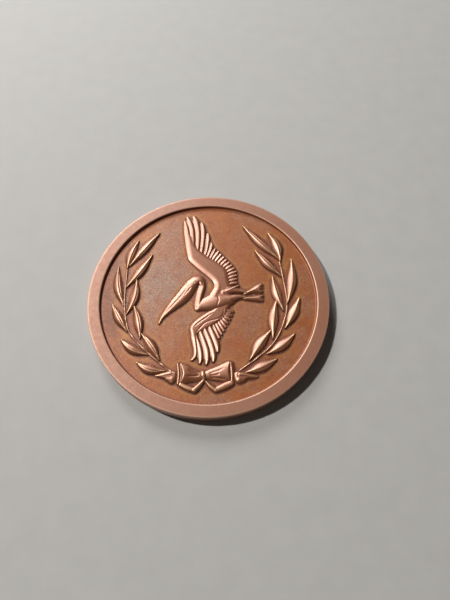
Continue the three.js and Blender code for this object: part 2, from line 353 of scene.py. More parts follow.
class Nodes:
    """Shorthand for building one material's node tree."""

    def __init__(self, name):
        self.material = bpy.data.materials.new(name)
        self.material.use_nodes = True
        self.tree = self.material.node_tree
        self.tree.nodes.clear()
        self.shader = self.add("ShaderNodeBsdfPrincipled")
        output = self.add("ShaderNodeOutputMaterial")
        self.link(self.shader.outputs["BSDF"], output.inputs["Surface"])
        self.place = self.add("ShaderNodeTexCoord").outputs["Object"]

    def add(self, kind, **settings):
        """A new node with its settings."""
        node = self.tree.nodes.new(kind)
        for key, value in settings.items():
            setattr(node, key, value)
        return node

    def link(self, source, target):
        """Joins an output to an input."""
        self.tree.links.new(source, target)

    def feed(self, source, target):
        """Sets an input to a constant, or links it."""
        if isinstance(source, bpy.types.NodeSocket):
            self.link(source, target)
        else:
            target.default_value = source

    def noise(self, size_mm, detail=3.0, roughness=0.55):
        """Noise from 0 to 1 with features of about the given size."""
        scaled = self.add("ShaderNodeMapping")
        scaled.inputs["Scale"].default_value = [1 / (size_mm * MM)] * 3
        self.link(self.place, scaled.inputs["Vector"])
        node = self.add("ShaderNodeTexNoise")
        node.inputs["Scale"].default_value = 1.0
        node.inputs["Detail"].default_value = detail
        node.inputs["Roughness"].default_value = roughness
        self.link(scaled.outputs["Vector"], node.inputs["Vector"])
        return node.outputs["Fac"]

    def attribute(self, name):
        """A value stored on the mesh's points."""
        return self.add("ShaderNodeAttribute", attribute_name=name).outputs["Fac"]

    def remap(self, value, low, high, to_low=0.0, to_high=1.0):
        """A value taken from one range to another and held inside it."""
        node = self.add("ShaderNodeMapRange")
        node.inputs["From Min"].default_value = low
        node.inputs["From Max"].default_value = high
        node.inputs["To Min"].default_value = to_low
        node.inputs["To Max"].default_value = to_high
        self.link(value, node.inputs["Value"])
        return node.outputs["Result"]

    def math(self, operation, a, b=0.0):
        """A sum, difference or product of two values."""
        node = self.add("ShaderNodeMath", operation=operation)
        self.feed(a, node.inputs[0])
        self.feed(b, node.inputs[1])
        return node.outputs[0]

    def mix(self, share, a, b):
        """Colour a, going over to colour b as the share goes from 0 to 1."""
        node = self.add("ShaderNodeMix", data_type="RGBA")
        self.feed(share, node.inputs["Factor"])
        for colour, socket in ((a, node.inputs[6]), (b, node.inputs[7])):  # the colour inputs A and B
            self.feed(colour if isinstance(colour, bpy.types.NodeSocket) else (*colour, 1), socket)
        return node.outputs[2]

    def bump(self, height, distance_mm, normal=None):
        """Bump of full strength, on top of another normal if one is given."""
        node = self.add("ShaderNodeBump")
        node.inputs["Strength"].default_value = 1.0
        node.inputs["Distance"].default_value = distance_mm * MM
        self.link(height, node.inputs["Height"])
        if normal is not None:
            self.link(normal, node.inputs["Normal"])
        return node.outputs["Normal"]

    def finish(self, colour, roughness, normal, **constants):
        """Links the shader's main inputs and sets constants on its others."""
        self.link(colour, self.shader.inputs["Base Color"])
        self.link(roughness, self.shader.inputs["Roughness"])
        self.link(normal, self.shader.inputs["Normal"])
        for key, value in constants.items():
            self.shader.inputs[key.replace("_", " ")].default_value = value
        return self.material


# ---- Materials ----------------------------------------------------------------------------------

ORANGE_BROWN = (0.36, 0.098, 0.008)
PINK_BROWN = (0.288, 0.166, 0.118)
PALE_SPECK = (0.50, 0.34, 0.25)
OCHRE = (0.41, 0.165, 0.02)
RED_PATINA_AND_SHADE = (0.26, 0.05, 0.009)
LEFT_SHADE_BROWN = (0.12, 0.024, 0.005)
DARK_PATINA_AND_SHADE = (0.075, 0.012, 0.003)
RIM_PINK = (0.34, 0.122, 0.058)
RIM_ORANGE = (0.34, 0.1, 0.034)
RIM_DARK = (0.19, 0.055, 0.018)
RIM_PALE = (0.36, 0.16, 0.09)
RIM_EDGE_HIGHLIGHT = (0.72, 0.47, 0.34)
BROWN = (0.29, 0.075, 0.016)
RUBBED = (0.62, 0.355, 0.175)


def field_bronze():
    """Satin field: orange-brown, with a grey-pink painted sheen left of the middle. Ochre round the relief,
    red where relief is crowded and at the foot of the rim, dark patina with a painted shadow to the lower
    right beside raised forms, a painted shade of the rim along its foot on the left and a painted shade
    by the left rim, with a mottled and speckled patina all over."""
    n = Nodes("field_bronze")
    halo = n.attribute("halo")
    foot = n.attribute("foot")
    # a painted shade by the left rim, made uneven with noise
    left_rim_shade = n.math("ADD", n.attribute("left_rim_shade"), n.remap(n.noise(2.4, 3), 0.3, 0.7, -0.25, 0.25))
    cloud = n.noise(9, 2)
    blotch = n.noise(3.2, 3, 0.6)
    mottle = n.noise(1.1, 4, 0.65)
    fine = n.noise(0.34, 3, 0.6)
    # painted sheen: grey-pink laid over the orange-brown left of the middle, where the lights are seen
    # reflected
    pink = n.remap(n.math("ADD", n.attribute("cloud"), n.remap(cloud, 0.3, 0.7, -0.4, 0.4)), 0, 1)
    colour = n.mix(pink, ORANGE_BROWN, PINK_BROWN)
    colour = n.mix(n.remap(halo, 0.06, 0.3, 0, 0.85), colour, OCHRE)
    crowded = n.math("ADD", n.remap(halo, 0.27, 0.52), n.remap(mottle, 0.35, 0.65, -0.3, 0.3))
    colour = n.mix(n.remap(crowded, 0, 1, 0, 0.9), colour, RED_PATINA_AND_SHADE)
    # painted shade by the left rim
    colour = n.mix(n.remap(left_rim_shade, 0.2, 1, 0, 0.9), colour, LEFT_SHADE_BROWN)
    # along the rim: a red patina line, grown on the left into a painted shade of the rim in red and dark
    # brown
    colour = n.mix(n.remap(foot, 0, 0.7, 0, 0.95), colour, RED_PATINA_AND_SHADE)
    colour = n.mix(n.remap(foot, 0.62, 0.9, 0, 0.9), colour, DARK_PATINA_AND_SHADE)
    # dark patina beside raised forms with a painted shadow, heaviest to their lower right
    colour = n.mix(n.remap(n.attribute("crease_and_shadow"), 0.08, 0.5, 0, 0.9), colour, DARK_PATINA_AND_SHADE)
    colour = n.mix(n.remap(blotch, 0.58, 0.35, 0, 0.45), colour, RED_PATINA_AND_SHADE)
    colour = n.mix(n.remap(mottle, 0.45, 0.28, 0, 0.5), colour, DARK_PATINA_AND_SHADE)
    colour = n.mix(n.remap(fine, 0.57, 0.7, 0.0, 0.45), colour, DARK_PATINA_AND_SHADE)
    # pale specks, thicker inside the painted sheen
    speck = n.math("MULTIPLY", n.remap(fine, 0.44, 0.3), n.math("ADD", n.math("MULTIPLY", pink, 0.6), 0.3))
    colour = n.mix(speck, colour, PALE_SPECK)
    rough = n.math("ADD", n.remap(cloud, 0.3, 0.7, 0.53, 0.59), n.remap(fine, 0.3, 0.7, -0.04, 0.05))
    rough = n.math("ADD", rough, n.remap(mottle, 0.3, 0.7, 0.03, -0.03))
    normal = n.bump(blotch, 0.035)
    normal = n.bump(mottle, 0.022, normal=normal)
    normal = n.bump(fine, 0.014, normal=normal)
    return n.finish(colour, rough, normal, Metallic=0.32, Coat_Weight=0.7, Coat_Roughness=0.45)


def rim_bronze():
    """Matte, fine-grained rim, paler and pinker than the field, rubbed along its edges and painted pale there
    as a highlight.
    """
    n = Nodes("rim_bronze")
    cloud = n.noise(7, 2)
    grain = n.noise(0.22, 4, 0.7)
    mottle = n.noise(1.2, 3)
    edge = n.attribute("edge")
    colour = n.mix(n.remap(cloud, 0.3, 0.7), RIM_PINK, RIM_ORANGE)
    colour = n.mix(n.remap(grain, 0.35, 0.7, 0.0, 0.45), colour, RIM_DARK)
    colour = n.mix(n.remap(mottle, 0.6, 0.3, 0.0, 0.3), colour, RIM_PALE)
    # the rubbed edges, painted pale as highlights
    colour = n.mix(edge, colour, RIM_EDGE_HIGHLIGHT)
    rough = n.math("ADD", n.remap(mottle, 0.3, 0.7, 0.51, 0.59), n.remap(grain, 0.3, 0.7, -0.03, 0.05))
    rough = n.math("SUBTRACT", rough, n.math("MULTIPLY", edge, 0.15))
    normal = n.bump(mottle, 0.03)
    normal = n.bump(grain, 0.024, normal=normal)
    return n.finish(colour, rough, normal, Metallic=0.32, IOR=1.9, Coat_Weight=0.7, Coat_Roughness=0.48)


def relief_bronze():
    """Raised forms: rubbed bright on the crests, dark at their feet and in the grooves."""
    n = Nodes("relief_bronze")
    rub = n.attribute("rub")
    mottle = n.noise(1.1, 3)
    fine = n.noise(0.25, 3)
    crest = n.math("ADD", n.remap(rub, 0.06, 0.36), n.remap(mottle, 0.3, 0.7, -0.12, 0.12))
    colour = n.mix(n.remap(crest, 0, 1), BROWN, RUBBED)
    colour = n.mix(n.remap(rub, 0.01, -0.06, 0.0, 0.8), colour, RED_PATINA_AND_SHADE)
    colour = n.mix(n.remap(rub, -0.04, -0.24, 0, 0.85), colour, DARK_PATINA_AND_SHADE)
    colour = n.mix(n.remap(fine, 0.55, 0.7, 0.0, 0.3), colour, DARK_PATINA_AND_SHADE)
    rough = n.math("ADD", n.remap(crest, 0, 1, 0.43, 0.36), n.remap(fine, 0.3, 0.7, -0.03, 0.04))
    normal = n.bump(mottle, 0.015)
    normal = n.bump(fine, 0.006, normal=normal)
    return n.finish(colour, rough, normal, Metallic=0.55, Coat_Weight=1.0, Coat_Roughness=0.38, Coat_IOR=1.85)


FIELD = field_bronze()
RIM = rim_bronze()
RELIEF = relief_bronze()


# ---- Laurel branches ----------------------------------------------------------------------------

LEAF_HALF_WIDTH = 1.42
LEAF_HEIGHT = 0.86
LEAF_LEAN = 0.36
LEAF_MARGIN = 2.2  # round a leaf's rows, for the box that is meshed
UPPER_LEFT = (-0.75, 0.66)  # the direction that the leaves' broad flanks face
VEIN_HALF_WIDTH = 0.18
VEIN_DEPTH = 0.15
VEIN_OFFSET = 1.3  # the vein's place off the middle of the leaf, as a multiple of the crest's
STEM_HALF_WIDTH = 0.3
STEM_HEIGHT = 0.32
STEM_MARGIN = 1.2
KNOB_SIZE = 0.22  # swelling of the stems, as a share of their size
KNOB_TURN = 2.3  # radians of the swelling from one point of a stem to the next

LEFT_STEM = [(-24.1, 10.2), (-24.4, 2), (-24.3, -2), (-23.7, -6.3), (-22.4, -10.4),
             (-18.3, -15.2), (-13.9, -19.3), (-10.7, -21.9)]
RIGHT_STEM = [(21.6, 11), (22.1, 6.8), (22.7, -2.5), (21.1, -8.9), (18, -14.5),
              (13, -18.9), (8, -22.3)]

# Each leaf: where it springs, its tip, and the bow of its middle to the left.
LEFT_LEAVES = [
    ((-23.4, 11.2), (-14.6, 22.5), 0.2), ((-24.2, 10.2), (-21, 19.9), 0.5), ((-24.2, 4), (-16.7, 14.8), -0.3),
    ((-24.5, -2), (-26.7, 11), 0.9), ((-23.7, -4.6), (-21.1, 6.6), -0.9), ((-23.2, -9.9), (-27.9, -1.3), 0.2),
    ((-19.5, -12.2), (-21.6, -1.9), -0.4), ((-13.9, -18.6), (-19.2, -10.6), -0.3),
    ((-17.2, -17), (-24.9, -12.1), 0.7), ((-12.2, -21.7), (-20.3, -18.9), 0.9),
]
RIGHT_LEAVES = [
    ((21.4, 12), (11.2, 24), 0.1), ((21.75, 11.1), (18.6, 21.3), -1.2), ((21.6, 6.2), (14.4, 15.2), 0.1),
    ((22.5, -3), (25.1, 11.9), -1.0), ((21.4, -5), (19, 6.4), 0.3), ((21.4, -10.4), (26.4, -0.9), -0.4),
    ((17.7, -13.4), (19.7, -1.4), 0.3), ((10.9, -19.4), (17.4, -10.8), 0.2),
    ((15.8, -17.8), (24, -12.1), -0.6), ((9.6, -22.9), (18.5, -19.3), -0.4),
]

# Share of the leaf's length from its base, and share of its full half-width there.
LEAF_PROFILE = [(0, 0.12), (0.12, 0.36), (0.3, 0.8), (0.47, 1), (0.64, 0.9), (0.82, 0.54), (0.94, 0.28),
                (1, 0.12)]


def leaf_rows(base, tip, bow, aside=0.0):
    """Rows of one leaf. aside moves them sideways, as a share of the half-width."""
    base, tip = np.array(base), np.array(tip)
    along = tip - base
    left = np.array([-along[1], along[0]]) / np.linalg.norm(along)
    rows = []
    for t, width in LEAF_PROFILE:
        half_width = LEAF_HALF_WIDTH * width
        x, y = base + along * t + left * (bow * math.sin(math.pi * t) + aside * half_width)
        rows.append((x, y, half_width, LEAF_HEIGHT * (0.55 + 0.45 * width)))
    return rows


def crest_lean(base, tip):
    """Leaf crests lie off centre, towards the lower right of the design, which leaves a broad flank on
    the upper left."""
    (bx, by), (tx, ty) = base, tip
    facing = -(ty - by) * UPPER_LEFT[0] + (tx - bx) * UPPER_LEFT[1]
    return -LEAF_LEAN * facing / math.hypot(tx - bx, ty - by)


def leaf(x, y, rows, lean, vein_points):
    """A leaf blade with its midrib as a groove."""
    blade = ridge(x, y, rows, power=1.8, lean=lean, wall=0.24)
    return blade - line_form(x, y, vein_points, VEIN_HALF_WIDTH, VEIN_DEPTH)


def stem(x, y, points):
    """A slightly knobbly twig."""
    rows = []
    line = smooth_rows(points, per_span=4)
    for i, (px, py) in enumerate(line):
        swell = 1 + KNOB_SIZE * math.sin(KNOB_TURN * i)
        rows.append((px, py, STEM_HALF_WIDTH * swell, STEM_HEIGHT * swell))
    return ridge(x, y, rows, power=2, wall=0.2)


def box_round(points, margin):
    """The lowest and highest corners of a box round some points, grown by a margin."""
    points = np.array(points)
    return points[:, :2].min(0) - margin, points[:, :2].max(0) + margin


for side, stem_points, leaves in (("left", LEFT_STEM, LEFT_LEAVES), ("right", RIGHT_STEM, RIGHT_LEAVES)):
    low, high = box_round(stem_points, STEM_MARGIN)
    relief_piece(f"{side}_stem", lambda x, y: stem(x, y, stem_points), low, high, RELIEF)
    for number, (base, tip, bow) in enumerate(leaves, 1):
        rows = leaf_rows(base, tip, bow)
        lean = crest_lean(base, tip)
        vein_points = [row[:2] for row in leaf_rows(base, tip, bow, aside=VEIN_OFFSET * lean)[1:-1]]
        low, high = box_round(rows, LEAF_MARGIN)
        relief_piece(
            f"{side}_leaf_{number:02d}", lambda x, y: leaf(x, y, rows, lean, vein_points), low, high, RELIEF)


# The thick cut ends of the branches, each an outline with a pointed spur and a round lobe on it.
LEFT_END = [(-15.2, -23), (-13, -22.3), (-10.8, -21.7), (-9.1, -22.1), (-9.1, -24), (-10, -25.4),
            (-11.1, -25.3), (-12.3, -24.2)]
RIGHT_END = [(6.4, -23.2), (7.4, -22.5), (9.4, -22.8), (11.6, -23.4), (13.1, -24.1), (12.2, -24.7),
             (10.2, -24.9), (9, -25.7), (7.8, -26), (6.7, -25.2)]
LEFT_SPUR = [(-14.8, -23, 0.25, 0.36), (-12.8, -22.7, 0.6, 0.5), (-10.9, -22.4, 0.7, 0.54)]
LEFT_LOBE = [(-11.6, -23.9, 0.8, 0.46), (-10.4, -24, 1.2, 0.6)]
RIGHT_SPUR = [(8, -23.4, 0.8, 0.56), (9.4, -23.5, 0.8, 0.54), (11, -23.9, 0.6, 0.48),
              (12.7, -24.2, 0.3, 0.36)]
RIGHT_LOBE = [(7.8, -24.8, 1.2, 0.6), (8.8, -24.8, 0.9, 0.5)]
END_HEIGHT = 0.46
END_SHOULDER = 0.7
END_MARGIN = 0.8


def stem_end(x, y, outline, spur_rows, spur_lean, lobe_rows):
    """The flat cut end of a branch, with its spur and its lobe."""
    end = panel(x, y, outline, END_HEIGHT, END_SHOULDER)
    spur = ridge(x, y, spur_rows, lean=spur_lean)
    lobe = ridge(x, y, lobe_rows, power=1.8)
    return blend_all([end, spur, lobe], 0.12)


for side, outline, spur_rows, spur_lean, lobe_rows in (
        ("left", LEFT_END, LEFT_SPUR, -0.3, LEFT_LOBE), ("right", RIGHT_END, RIGHT_SPUR, -0.2, RIGHT_LOBE)):
    low, high = box_round(outline, END_MARGIN)
    relief_piece(
        f"{side}_stem_end", lambda x, y: stem_end(x, y, outline, spur_rows, spur_lean, lobe_rows),
        low, high, RELIEF)


# ---- Ribbon bow ---------------------------------------------------------------------------------

LEFT_LOOP = [(-2.2, -22.6), (-4.6, -21.3), (-7.2, -19.8), (-8.15, -19.9), (-8, -22.6), (-8.25, -25.3),
             (-7.4, -25.6), (-5, -25.2), (-2.2, -24.7)]
RIGHT_LOOP = [(-1.5, -22.4), (1.8, -21), (4.9, -19.6), (5.5, -19.7), (5.65, -22.6), (5.55, -25.6),
              (4.9, -25.7), (2.2, -25.2), (-1.5, -24.5)]
LOOP_HEIGHT = 0.9
LOOP_SHOULDER = 1.0


def swelling(x, y, outline, rows):
    """A loop of ribbon that swells from the knot to its open end, trimmed to an outline."""
    return blend_low(ridge(x, y, rows, power=2), panel(x, y, outline, LOOP_HEIGHT, LOOP_SHOULDER), 0.12)


def left_loop(x, y):
    """The left loop with two folds and, at its open end, the ribbon's outer lip."""
    loop = swelling(x, y, LEFT_LOOP, [
        (-2.2, -23.7, 1.1, 0.42), (-4.5, -23.3, 1.9, 0.58), (-7, -22.8, 2.75, 0.84), (-10, -22.6, 3.3, 1)])
    loop = loop - line_form(x, y, [(-2.8, -22.9), (-4.4, -22.3), (-6, -21.5)], 0.26, 0.12)
    loop = loop - line_form(x, y, [(-2.8, -23.3), (-4.4, -23.5), (-6.6, -23.4)], 0.22, 0.13)
    lip_rows = [(-8.75, -20, 0.55, 0.46), (-8.4, -22.6, 0.65, 0.54), (-8.7, -25.4, 0.55, 0.46)]
    return blend(loop, ridge(x, y, lip_rows, lean=-0.3), 0.15)


def right_loop(x, y):
    """The right loop with three folds and its lip."""
    loop = swelling(x, y, RIGHT_LOOP, [
        (-1.6, -23.4, 1.1, 0.42), (1.6, -23, 2.1, 0.62), (5, -22.6, 3, 0.86), (8, -22.4, 3.4, 1)])
    folds = [[(-0.4, -22.9), (1.4, -22.5), (3.9, -21.6)], [(-0.2, -23.4), (1.2, -23.4), (2.6, -23.2)],
             [(0, -24), (1.8, -24.2), (4.3, -24.7)]]
    loop = grooved(x, y, loop, folds, 0.26, 0.1)
    lip_rows = [(5.9, -20.2, 0.6, 0.42), (6.1, -22.7, 0.65, 0.5), (6, -25.2, 0.6, 0.42)]
    return blend(loop, ridge(x, y, lip_rows, lean=-0.4), 0.15)


def knot(x, y):
    """A short upright band, the highest form on the medal."""
    rows = [(-2.05, -22.7, 0.8, 0.8), (-1.95, -23.4, 0.98, 0.95), (-1.75, -24.2, 0.72, 0.78)]
    return ridge(x, y, rows, power=2)


def tail(x, y, strip, turned, turned_lean):
    """A flat ribbon end that runs down from the knot and turns outwards."""
    falling = ridge(x, y, strip, power=2.6, lean=-0.2)
    return blend(falling, ridge(x, y, turned, power=2.6, lean=turned_lean), 0.12)


def left_tail(x, y):
    """The left ribbon end."""
    strip = [(-1.4, -24.2, 0.34, 0.5), (-2.9, -26, 0.72, 0.62), (-4.3, -27.35, 0.85, 0.66)]
    turned = [(-4.4, -27.3, 0.85, 0.62), (-6.2, -26.6, 0.85, 0.58), (-8, -25.7, 0.7, 0.5)]
    return tail(x, y, strip, turned, 0.2)


def right_tail(x, y):
    """The right ribbon end."""
    strip = [(-1.2, -25.1, 0.3, 0.5), (0, -26.4, 0.66, 0.6), (1.35, -27.45, 0.8, 0.64)]
    turned = [(1.6, -27.4, 0.85, 0.64), (3.4, -26.7, 1.05, 0.64), (5.5, -25.8, 0.95, 0.58)]
    return tail(x, y, strip, turned, -0.2)


relief_piece("bow_left_tail", left_tail, (-9.6, -29), (-0.6, -23.4), RELIEF)
relief_piece("bow_right_tail", right_tail, (-2.2, -29), (7.4, -24.2), RELIEF)
relief_piece("bow_left_loop", left_loop, (-9.8, -26.5), (-1.6, -18.9), RELIEF)
relief_piece("bow_right_loop", right_loop, (-2.2, -26.6), (7.3, -18.8), RELIEF)
relief_piece("bow_knot", knot, (-3.6, -25.3), (-0.3, -21.6), RELIEF)


# ---- Pelican ------------------------------------------------------------------------------------

# Rows of [x, y, half-width, height], along each form.
BODY = [(-2.2, -2.5, 1.7, 0.66), (0.2, -1.95, 2.35, 0.74), (3, -1.15, 2.75, 0.78), (5.6, -0.6, 2.35, 0.72)]
UPPER_LEG = [(4.4, 1.3, 1.2, 0.66), (7, 2, 1.2, 0.68), (9.2, 1.75, 0.9, 0.6), (11, 1.3, 0.55, 0.5)]
LOWER_LEG = [(4.6, -1.1, 1.7, 0.7), (6.8, -0.6, 1.4, 0.7), (8.8, -0.1, 0.95, 0.62), (10.6, -0.3, 0.6, 0.5)]
NECK = [(-1.75, 4.6, 1.05, 0.5), (-1.85, 3.2, 1.1, 0.52), (-2.45, 1.2, 1.1, 0.54), (-2.85, -0.7, 1.1, 0.56),
        (-3.1, -2.4, 1.1, 0.56), (-3.2, -3.4, 0.95, 0.5)]
HEAD = [(-1.8, 4.4, 1.0, 0.56), (-2.25, 5.6, 1.35, 0.62), (-3.6, 5.5, 1.55, 0.66), (-5, 4.1, 1.8, 0.66)]
BILL = [(-4.8, 4.4, 1.7, 0.66), (-5.9, 2.6, 2, 0.64), (-7.5, 0.4, 1.95, 0.6), (-9.7, -1.8, 1.6, 0.54),
        (-11.8, -4, 1.05, 0.48), (-13.4, -5.9, 0.65, 0.42), (-14.3, -7.7, 0.35, 0.36)]

# Outline of the smooth part of the upper wing.
COVERTS = [(-6.9, 21.5), (-6.75, 18), (-6.3, 15), (-5.75, 12.6), (-3.9, 10.4), (-2, 8.5), (-0.1, 6.7),
           (1.4, 4.9), (1.75, 3.2), (1.4, 1.7), (0.5, 0.8), (1.5, -1), (6, -0.6), (7.4, 2.4), (6.9, 4.2),
           (6.6, 6), (6.4, 7.8), (5.8, 9.4), (4.5, 10.9), (2.6, 12.4), (0.6, 13.8), (-1, 15.2),
           (-2.4, 16.8), (-3.4, 18.6), (-4.2, 21), (-5.4, 22)]

# Long feathers of the upper wing, from the leading edge inwards: rows of [x, y, half-width, height].
UPPER_PRIMARIES = [
    [(-5.7, 17.6, 0.8, 0.4), (-5.95, 20.5, 0.88, 0.46), (-6.4, 24, 0.76, 0.46), (-6.95, 26.5, 0.48, 0.4)],
    [(-4.6, 17, 0.95, 0.48), (-4.55, 20.5, 0.95, 0.5), (-4.75, 23.5, 0.88, 0.5), (-5.35, 26, 0.8, 0.48),
     (-6.1, 27.9, 0.5, 0.42)],
    [(-3, 16.4, 0.65, 0.48), (-2.8, 20, 0.84, 0.5), (-2.85, 23, 0.86, 0.5), (-3.3, 26, 0.86, 0.5),
     (-4, 27.9, 0.66, 0.46)],
    [(-1.85, 15.4, 0.52, 0.46), (-1.35, 19, 0.68, 0.48), (-1.15, 22, 0.76, 0.48), (-1.35, 24.6, 0.6, 0.46),
     (-1.65, 25.8, 0.36, 0.4)],
    [(-0.65, 14.5, 0.48, 0.46), (-0.05, 17, 0.6, 0.48), (0.28, 20, 0.62, 0.46), (0.25, 21.7, 0.4, 0.4)],
    [(0, 13.7, 0.45, 0.46), (0.8, 15.6, 0.54, 0.46), (1.25, 17.4, 0.52, 0.45), (1.2, 18.4, 0.34, 0.4)],
    [(0.9, 13.2, 0.44, 0.46), (1.7, 14.7, 0.5, 0.46), (2.3, 16.1, 0.42, 0.42)],
]
# Curves through the roots and through the tips of the short feathers.
UPPER_ROOTS = [(1.6, 12.6), (3.4, 11), (5.1, 9.3), (5.8, 7.6), (6, 5.8), (6.1, 4.1)]
UPPER_TIPS = [(3.25, 15.1), (5.15, 12.7), (7.4, 9.8), (8.3, 7.9), (8.3, 6), (8.3, 4.5)]

LOWER_COVERTS = [(1.4, -3.6), (-0.7, -4.8), (-3, -6.4), (-4.8, -8), (-5.6, -9.4), (-5.5, -10.8), (-5, -12.4),
                 (-3.9, -12.3), (-2.4, -11.1), (-0.8, -10.2), (1, -9.2), (2.9, -7.9), (4.4, -6.4),
                 (5.5, -4.6), (6.2, -2), (3, -1.5)]
LOWER_PRIMARIES = [
    [(-4.5, -9.6, 0.75, 0.44), (-4.45, -11.4, 0.8, 0.48), (-4.2, -13.6, 0.7, 0.48),
     (-3.95, -16, 0.6, 0.46), (-4.15, -17.8, 0.55, 0.44), (-5.1, -18.9, 0.35, 0.38)],
    [(-3.9, -11.8, 0.6, 0.46), (-3.2, -14, 0.7, 0.48), (-2.65, -16.6, 0.74, 0.5), (-2.6, -18.6, 0.66, 0.48),
     (-2.85, -19.8, 0.44, 0.44)],
    [(-2.5, -11, 0.6, 0.48), (-1.6, -13.6, 0.76, 0.5), (-0.85, -16.4, 0.82, 0.52), (-0.8, -18.7, 0.7, 0.5),
     (-1.05, -20.1, 0.46, 0.44)],
    [(-1.2, -10.2, 0.62, 0.48), (-0.1, -13, 0.8, 0.5), (0.75, -16, 0.82, 0.52), (1, -18.2, 0.66, 0.5),
     (0.85, -19.4, 0.46, 0.44)],
    [(0.2, -9.6, 0.62, 0.48), (1.2, -12.2, 0.8, 0.5), (1.95, -14.6, 0.78, 0.5), (2.15, -16.6, 0.5, 0.46)],
]
LOWER_ROOTS = [(1.3, -9), (2.4, -8.4), (3.7, -7.3), (4.6, -6), (5.2, -4.4)]
LOWER_TIPS = [(2.7, -12.6), (3.9, -10.8), (5, -8.7), (6.1, -6.7), (6.9, -4.8)]

OVERLAP = 1.24  # widening of the long feathers, so that each lies over the next
WEB_SHARE = 0.82  # how far the web reaches from the roots of the short feathers to their tips


def fan(roots, tips, count, half_width, height):
    """Short feathers spread evenly between a root curve and a tip curve, widest half way along."""
    feathers = []
    for share in np.linspace(0, 1, count):
        ends = []
        for curve in (roots, tips):
            line = smooth_rows(curve)
            run = np.append(0, np.cumsum(np.hypot(*np.diff(line, axis=0).T)))
            ends.append([np.interp(share * run[-1], run, line[:, k]) for k in (0, 1)])
        root, tip = np.array(ends)
        middle = 0.5 * (root + tip)
        feathers.append([(*root, 0.85 * half_width, height), (*middle, half_width, 1.04 * height),
                         (*tip, 0.8 * half_width, 0.9 * height)])
    return feathers


def widened(feathers):
    """Feathers made wide enough to overlap, except at their tips."""
    wide = []
    for *inner, tip in feathers:
        wide.append([(x, y, OVERLAP * w, h) for x, y, w, h in inner] + [tip])
    return wide


UPPER_FEATHERS = widened(UPPER_PRIMARIES)
UPPER_FEATHERS += fan(UPPER_ROOTS, UPPER_TIPS, count=11, half_width=0.7, height=0.43)
LOWER_FEATHERS = widened(LOWER_PRIMARIES)
LOWER_FEATHERS += fan(LOWER_ROOTS, LOWER_TIPS, count=8, half_width=0.62, height=0.4)


def web_outline(roots, tips):
    """The fan's outline, held back from the feather tips so that they stand out as scallops."""
    roots, tips = np.array(roots), np.array(tips)
    held = roots + WEB_SHARE * (tips - roots)
    return [tuple(point) for point in roots] + [tuple(point) for point in held[::-1]]


UPPER_WEB = web_outline(UPPER_ROOTS, UPPER_TIPS)
LOWER_WEB = web_outline(LOWER_ROOTS, LOWER_TIPS)


def feathered(x, y, coverts, height, shoulder, feathers, web, lean):
    """Feathers whose crests lean away from the leading edge, on a thin web, flowing into smooth coverts."""
    forms = [ridge(x, y, rows, power=1.7, lean=lean) for rows in feathers]
    forms.append(panel(x, y, web, height=0.3, shoulder=0.3, wall=0.6))
    return blend(blend_all(forms, 0.05), panel(x, y, coverts, height, shoulder, power=1.8), 0.08)


WING_FOLD = [(5.2, 1.7, 0.5, 0.7), (7.2, 2.6, 0.7, 0.76), (8.8, 3.4, 0.45, 0.6)]
WING_SHOULDER = [(3.1, 6.4, 0.8, 0.36), (3.2, 4.4, 1.5, 0.5), (3, 2.6, 1.5, 0.58), (2, 0.4, 1.7, 0.62)]
BREAST_LINE = [(2.7, 0.3), (2.95, -1.2), (2.3, -2.9)]
LEG_PARTING = [(5.6, 0.5), (8, 0.75), (10.9, 0.75)]
FOLD_CREST = [(5.2, 2.4), (6.6, 3), (8.2, 3.1)]


def rear(x, y):
    """Body, legs and upper wing as one flowing surface, with two grooves and a raised crest."""
    wing = feathered(x, y, COVERTS, height=0.54, shoulder=1.7, feathers=UPPER_FEATHERS, web=UPPER_WEB,
                     lean=-0.3)
    fold = ridge(x, y, WING_FOLD, lean=-0.2)
    shoulder = ridge(x, y, WING_SHOULDER)
    made = blend(ridge(x, y, BODY, power=2, lean=-0.25), blend_all([wing, fold, shoulder], 0.12), 0.2)
    legs = blend(ridge(x, y, UPPER_LEG, power=2.2), ridge(x, y, LOWER_LEG, power=2.2), 0.06)
    made = blend(made, legs, 0.12)
    for points, depth in ((BREAST_LINE, 0.1), (LEG_PARTING, 0.14), (FOLD_CREST, -0.06)):
        made = made - line_form(x, y, points, 0.2, depth)
    return made


MOUTH_LINE = [(-6.2, 2.9), (-7.9, 0.7), (-10.2, -2), (-12.8, -5)]
POUCH_FOLD = [(-5, 3.4), (-6, 2), (-7.1, 0.8)]
EYE_LINE = [(-4.5, 4.5), (-3.9, 4.9), (-3.2, 5)]


def front(x, y):
    """Head, bill and neck, with the mouth line, a fold of the pouch and the eye."""
    made = blend(ridge(x, y, HEAD, power=1.8, lean=0.25), ridge(x, y, BILL, power=1.8, lean=0.22), 0.15)
    made = blend(made, ridge(x, y, NECK, power=1.5, lean=0.35), 0.1)
    made = made - line_form(x, y, MOUTH_LINE, 0.26, 0.11)
    made = made - line_form(x, y, POUCH_FOLD, 0.18, 0.1)
    return made - line_form(x, y, EYE_LINE, 0.2, 0.08)


def torso(x, y):
    """The bird without its lower wing and feet. The cuts below share it out between pieces."""
    return blend(rear(x, y), front(x, y), 0.08)


LOWER_WING_LINES = [
    [(4.4, -3.8), (4.1, -5.4), (2.9, -6.7), (0.5, -7.4), (-1.3, -8.2), (-2.9, -9.9), (-4, -11.2)],
    [(1.1, -5), (-0.9, -6.5), (-3, -8), (-4.5, -9.3)],
]


def lower_wing(x, y):
    """The wing below the body, with two engraved lines over its coverts."""
    wing = feathered(x, y, LOWER_COVERTS, height=0.48, shoulder=1.0, feathers=LOWER_FEATHERS, web=LOWER_WEB,
                     lean=0.3)
    return grooved(x, y, wing, LOWER_WING_LINES, 0.18, 0.1)


